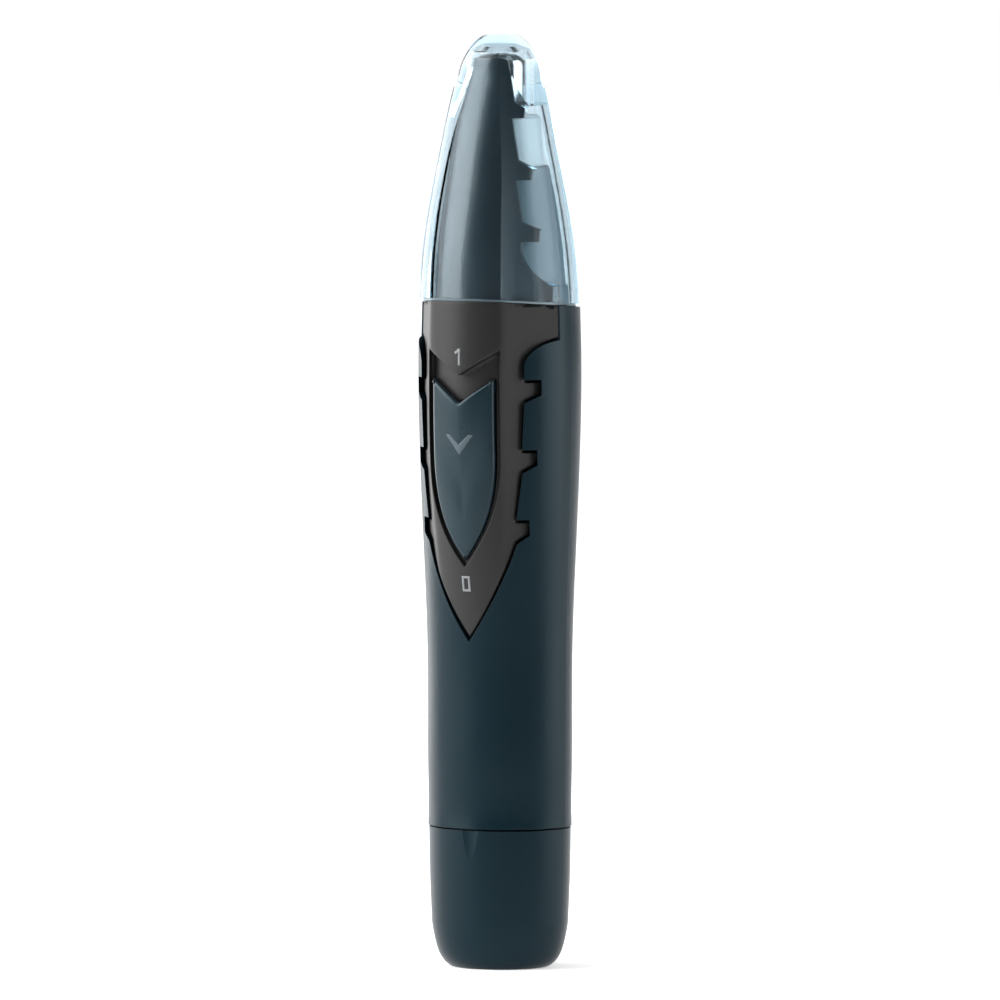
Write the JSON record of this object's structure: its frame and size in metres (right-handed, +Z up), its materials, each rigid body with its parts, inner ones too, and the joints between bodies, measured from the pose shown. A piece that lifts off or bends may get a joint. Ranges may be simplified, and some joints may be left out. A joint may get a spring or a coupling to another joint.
{
  "type": "nose hair trimmer",
  "caption": "Slim upright battery trimmer with an oval handle, a front slide switch, a slotted rotary cutter head and a clear pull-off cap.",
  "frame": {"origin": "centre of the flat base the trimmer stands on", "axes": "+Z up along the handle to the tip of the cap, -Y is the front with the switch, +X is to the right seen from the front"},
  "size_m": [0.0244, 0.0257, 0.1401],
  "materials": {
    "handle_plastic": "satin moulded plastic",
    "cap_base_plastic": "satin moulded plastic",
    "panel_plastic": "glossy black plastic",
    "slider_plastic": "satin teal plastic",
    "clear_plastic": "clear pale blue plastic",
    "cap_panel_plastic": "glossy dark teal plastic",
    "head_plastic": "moulded plastic",
    "steel": "polished steel",
    "brass": "plain",
    "copper": "wound enamelled copper",
    "rubber": "plain",
    "white_plastic": "plain moulded",
    "magnet": "sintered ferrite",
    "film": "plain printed film",
    "cell_can": "plated steel"
  },
  "bodies": {
    "handle": {"handle_shell": "handle_plastic", "switch_panel": "panel_plastic", "battery_lead": "brass", "motor_lead": "brass", "negative_strip": "brass", "positive_contact": "brass", "motor_chassis": "white_plastic", "motor_can": "steel", "motor_end_cap": "white_plastic", "motor_terminals": "brass", "motor_magnets": "magnet", "battery_cap_seal": "rubber"},
    "switch": {"switch_slider": "slider_plastic", "switch_carriage": "white_plastic", "switch_bridge": "brass"},
    "rotor": {"motor_shaft": "steel", "motor_armature": "copper", "motor_commutator": "copper", "drive_coupling": "white_plastic"},
    "cell": {"battery_cell": "cell_can", "battery_sleeve": "film"},
    "battery_cover": {"battery_cap": "cap_base_plastic", "battery_spring": "steel", "negative_plate": "brass"},
    "head": {"head_nozzle": "head_plastic", "head_seal": "rubber", "tube_retainer": "white_plastic", "cutter_tube": "steel", "spindle_bush": "brass"},
    "cutter": {"cutter_spindle": "steel", "cutter_blade": "steel", "blade_hub": "white_plastic", "blade_spring": "steel"},
    "cap": {"clear_cap": "clear_plastic", "cap_panel": "cap_panel_plastic"}
  },
  "joints": [
    {"name": "switch_slide", "type": "slide", "parent": "handle", "child": "switch", "axis": [0, -0.0797, 0.9968], "range_m": [0, 0.0036]},
    {"name": "motor_spin", "type": "hinge", "parent": "handle", "child": "rotor", "pos_m": [0, 0, 0.07], "axis": [0, 0, 1], "continuous": true},
    {"name": "cutter_spin", "type": "hinge", "parent": "head", "child": "cutter", "pos_m": [0, 0, 0.12], "axis": [0, 0, 1], "continuous": true},
    {"name": "head_lift", "type": "slide", "parent": "handle", "child": "head", "axis": [0, 0, 1], "range_m": [0, 0.03]},
    {"name": "cap_pull", "type": "slide", "parent": "head", "child": "cap", "axis": [0, 0, 1], "range_m": [0, 0.045]},
    {"name": "battery_pull", "type": "slide", "parent": "handle", "child": "cell", "axis": [0, 0, -1], "range_m": [0, 0.055]},
    {"name": "battery_cap_twist", "type": "hinge", "parent": "cell", "child": "battery_cover", "pos_m": [0, 0, 0.01], "axis": [0, 0, -1], "range_deg": [0, 35]}
  ],
  "couplings": [
    {"joint": "cutter_spin", "follows": "motor_spin", "ratio": 1}
  ]
}
